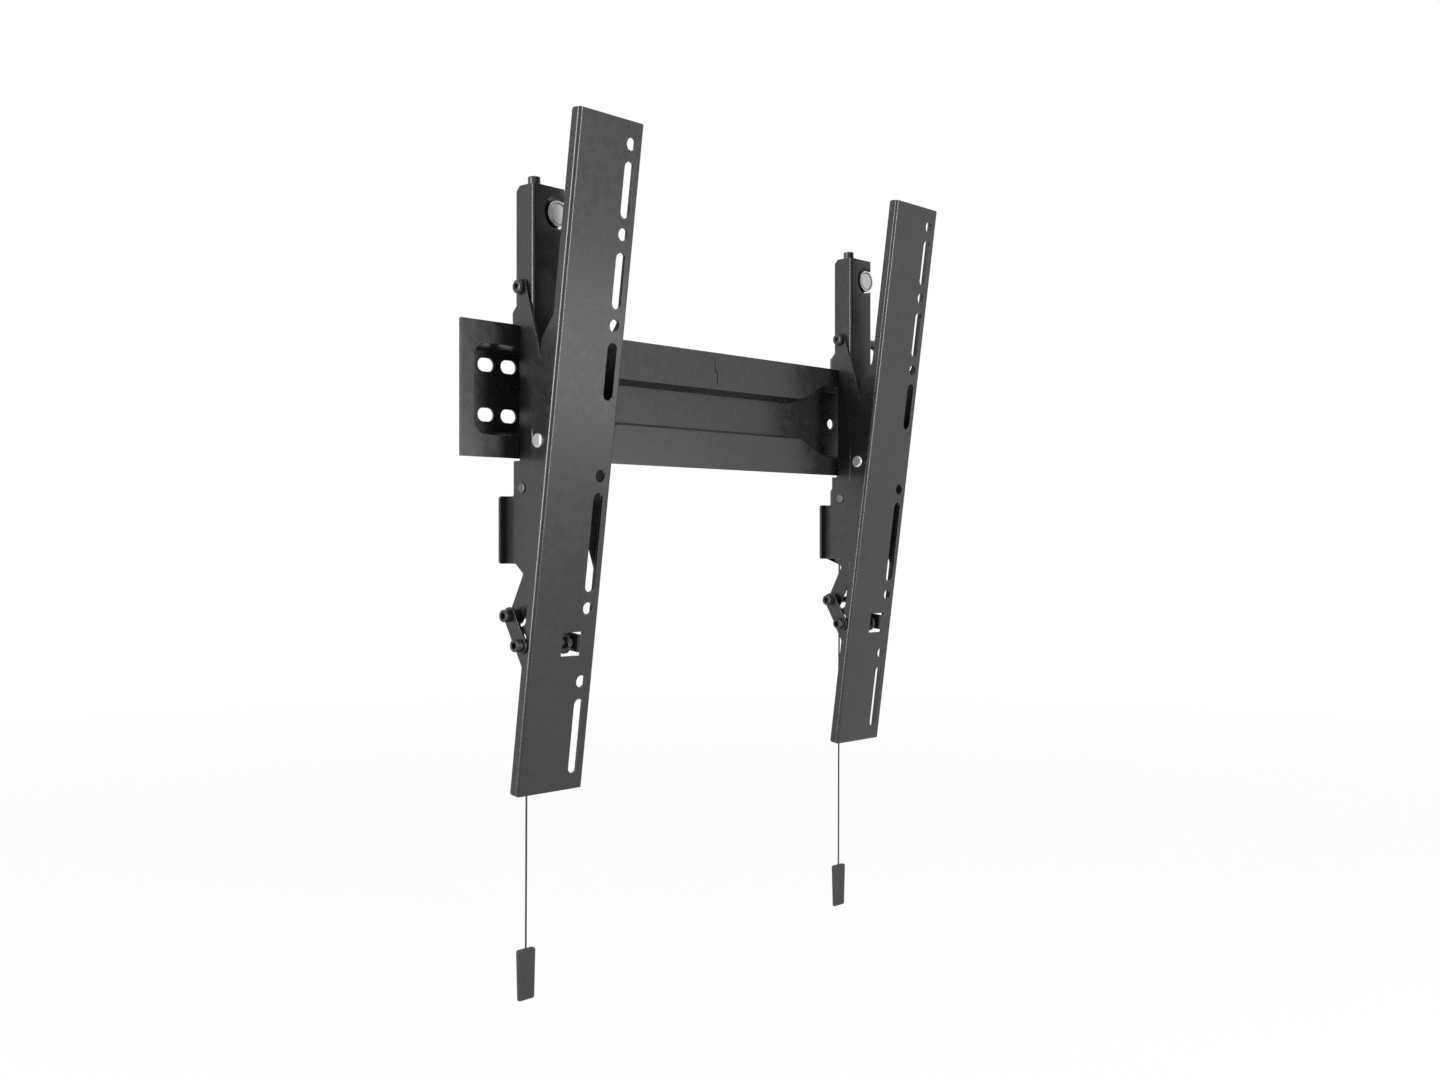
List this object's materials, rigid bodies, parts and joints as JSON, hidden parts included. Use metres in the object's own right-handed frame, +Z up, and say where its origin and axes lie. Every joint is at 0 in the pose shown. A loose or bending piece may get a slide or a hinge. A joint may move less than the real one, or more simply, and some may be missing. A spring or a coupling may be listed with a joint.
{
  "type": "tilting tv wall mount",
  "caption": "Pressed wall plate with hanging brackets whose slotted screen arms tilt on struts, each with a latch freed by a pull cord.",
  "frame": {"origin": "on the wall, at the middle of the wall plate", "axes": "+X along the plate to the right as seen from the front, +Y into the wall, +Z up"},
  "size_m": [0.4634, 0.0764, 0.5607],
  "materials": {
    "powder_coat": "fine satin black powder coat on steel",
    "black_oxide": "black fasteners",
    "rivet_zinc": "dull zinc",
    "nickel": "satin nickel",
    "hook_steel": "satin black",
    "latch_nylon": "black nylon",
    "spring_steel": "bright spring wire",
    "cord_black": "black braided cord",
    "handle_rubber": "dark grey moulded grip"
  },
  "bodies": {
    "wall_plate": {"wall_plate": "powder_coat"},
    "left_hook": {"left_hook_block": "hook_steel"},
    "left_carriage": {"left_carriage": "powder_coat", "left_magnet_bracket": "powder_coat", "left_magnet_cup": "nickel", "left_magnet_disc": "nickel", "left_outer_strut_bolt": "black_oxide", "left_outer_strut_nut": "black_oxide", "left_inner_strut_bolt": "black_oxide", "left_inner_strut_nut": "black_oxide", "left_strut_spacer": "black_oxide", "left_guide_bolt": "black_oxide", "left_guide_nut": "black_oxide", "left_guide_spacers": "black_oxide", "left_latch_pin": "rivet_zinc", "left_latch_spring": "spring_steel"},
    "left_height_screw": {"left_height_screw": "black_oxide"},
    "left_struts": {"left_outer_strut": "powder_coat", "left_inner_strut": "powder_coat"},
    "left_arm": {"left_screen_arm": "powder_coat", "left_strut_rivets": "rivet_zinc"},
    "left_guide_links": {"left_outer_guide_link": "powder_coat", "left_inner_guide_link": "powder_coat", "left_slide_bolt": "black_oxide", "left_slide_nut": "black_oxide", "left_slide_spacer": "black_oxide"},
    "left_latch": {"left_latch": "latch_nylon", "left_release_cord": "cord_black", "left_pull_handle": "handle_rubber"},
    "right_hook": {"right_hook_block": "hook_steel"},
    "right_carriage": {"right_carriage": "powder_coat", "right_magnet_bracket": "powder_coat", "right_magnet_cup": "nickel", "right_magnet_disc": "nickel", "right_outer_strut_bolt": "black_oxide", "right_outer_strut_nut": "black_oxide", "right_inner_strut_bolt": "black_oxide", "right_inner_strut_nut": "black_oxide", "right_strut_spacer": "black_oxide", "right_guide_bolt": "black_oxide", "right_guide_nut": "black_oxide", "right_guide_spacers": "black_oxide", "right_latch_pin": "rivet_zinc", "right_latch_spring": "spring_steel"},
    "right_height_screw": {"right_height_screw": "black_oxide"},
    "right_struts": {"right_outer_strut": "powder_coat", "right_inner_strut": "powder_coat"},
    "right_arm": {"right_screen_arm": "powder_coat", "right_strut_rivets": "rivet_zinc"},
    "right_guide_links": {"right_outer_guide_link": "powder_coat", "right_inner_guide_link": "powder_coat", "right_slide_bolt": "black_oxide", "right_slide_nut": "black_oxide", "right_slide_spacer": "black_oxide"},
    "right_latch": {"right_latch": "latch_nylon", "right_release_cord": "cord_black", "right_pull_handle": "handle_rubber"}
  },
  "joints": [
    {"name": "left_side_slide", "type": "slide", "parent": "wall_plate", "child": "left_hook", "axis": [1, 0, 0], "range_m": [-0.04, 0.13]},
    {"name": "left_height_slide", "type": "slide", "parent": "left_hook", "child": "left_carriage", "axis": [0, 0, 1], "range_m": [-0.001, 0.001]},
    {"name": "left_height_screw_spin", "type": "hinge", "parent": "left_carriage", "child": "left_height_screw", "pos_m": [-0.1775, -0.0199, 0.1309], "axis": [0, 0, 1], "range_deg": [-362, 362]},
    {"name": "left_strut_tilt", "type": "hinge", "parent": "left_carriage", "child": "left_struts", "pos_m": [-0.1875, -0.0183, 0.066], "axis": [-1, 0, 0], "range_deg": [-8.7, 2.35]},
    {"name": "left_arm_tilt", "type": "hinge", "parent": "left_struts", "child": "left_arm", "pos_m": [-0.1895, -0.03771, -0.03215], "axis": [1, 0, 0], "range_deg": [-16.8, 4.7]},
    {"name": "left_guide_link_swing", "type": "hinge", "parent": "left_carriage", "child": "left_guide_links", "pos_m": [-0.1875, -0.012, -0.1422], "axis": [-1, 0, 0], "range_deg": [-2.8, 9.9]},
    {"name": "left_latch_slide", "type": "slide", "parent": "left_carriage", "child": "left_latch", "axis": [0, 0, -1], "range_m": [0, 0.008], "stiffness_N_per_m": 400, "springref_m": -0.01, "deforming": ["left_latch_spring"]},
    {"name": "right_side_slide", "type": "slide", "parent": "wall_plate", "child": "right_hook", "axis": [1, 0, 0], "range_m": [-0.13, 0.055]},
    {"name": "right_height_slide", "type": "slide", "parent": "right_hook", "child": "right_carriage", "axis": [0, 0, 1], "range_m": [-0.001, 0.001]},
    {"name": "right_height_screw_spin", "type": "hinge", "parent": "right_carriage", "child": "right_height_screw", "pos_m": [0.1531, -0.0199, 0.1309], "axis": [0, 0, 1], "range_deg": [-362, 362]},
    {"name": "right_strut_tilt", "type": "hinge", "parent": "right_carriage", "child": "right_struts", "pos_m": [0.1431, -0.0183, 0.066], "axis": [-1, 0, 0], "range_deg": [-8.7, 2.35]},
    {"name": "right_arm_tilt", "type": "hinge", "parent": "right_struts", "child": "right_arm", "pos_m": [0.1411, -0.03771, -0.03215], "axis": [1, 0, 0], "range_deg": [-16.8, 4.7]},
    {"name": "right_guide_link_swing", "type": "hinge", "parent": "right_carriage", "child": "right_guide_links", "pos_m": [0.1431, -0.012, -0.1422], "axis": [-1, 0, 0], "range_deg": [-2.8, 9.9]},
    {"name": "right_latch_slide", "type": "slide", "parent": "right_carriage", "child": "right_latch", "axis": [0, 0, -1], "range_m": [0, 0.008], "stiffness_N_per_m": 400, "springref_m": -0.01, "deforming": ["right_latch_spring"]}
  ],
  "couplings": [
    {"joint": "left_height_screw_spin", "follows": "left_height_slide", "rad_per_m": 6283.2},
    {"joint": "left_arm_tilt", "follows": "left_strut_tilt", "ratio": 1.905},
    {"joint": "left_guide_link_swing", "follows": "left_strut_tilt", "ratio": -1.12},
    {"joint": "right_height_screw_spin", "follows": "right_height_slide", "rad_per_m": 6283.2},
    {"joint": "right_arm_tilt", "follows": "right_strut_tilt", "ratio": 1.905},
    {"joint": "right_guide_link_swing", "follows": "right_strut_tilt", "ratio": -1.12}
  ]
}
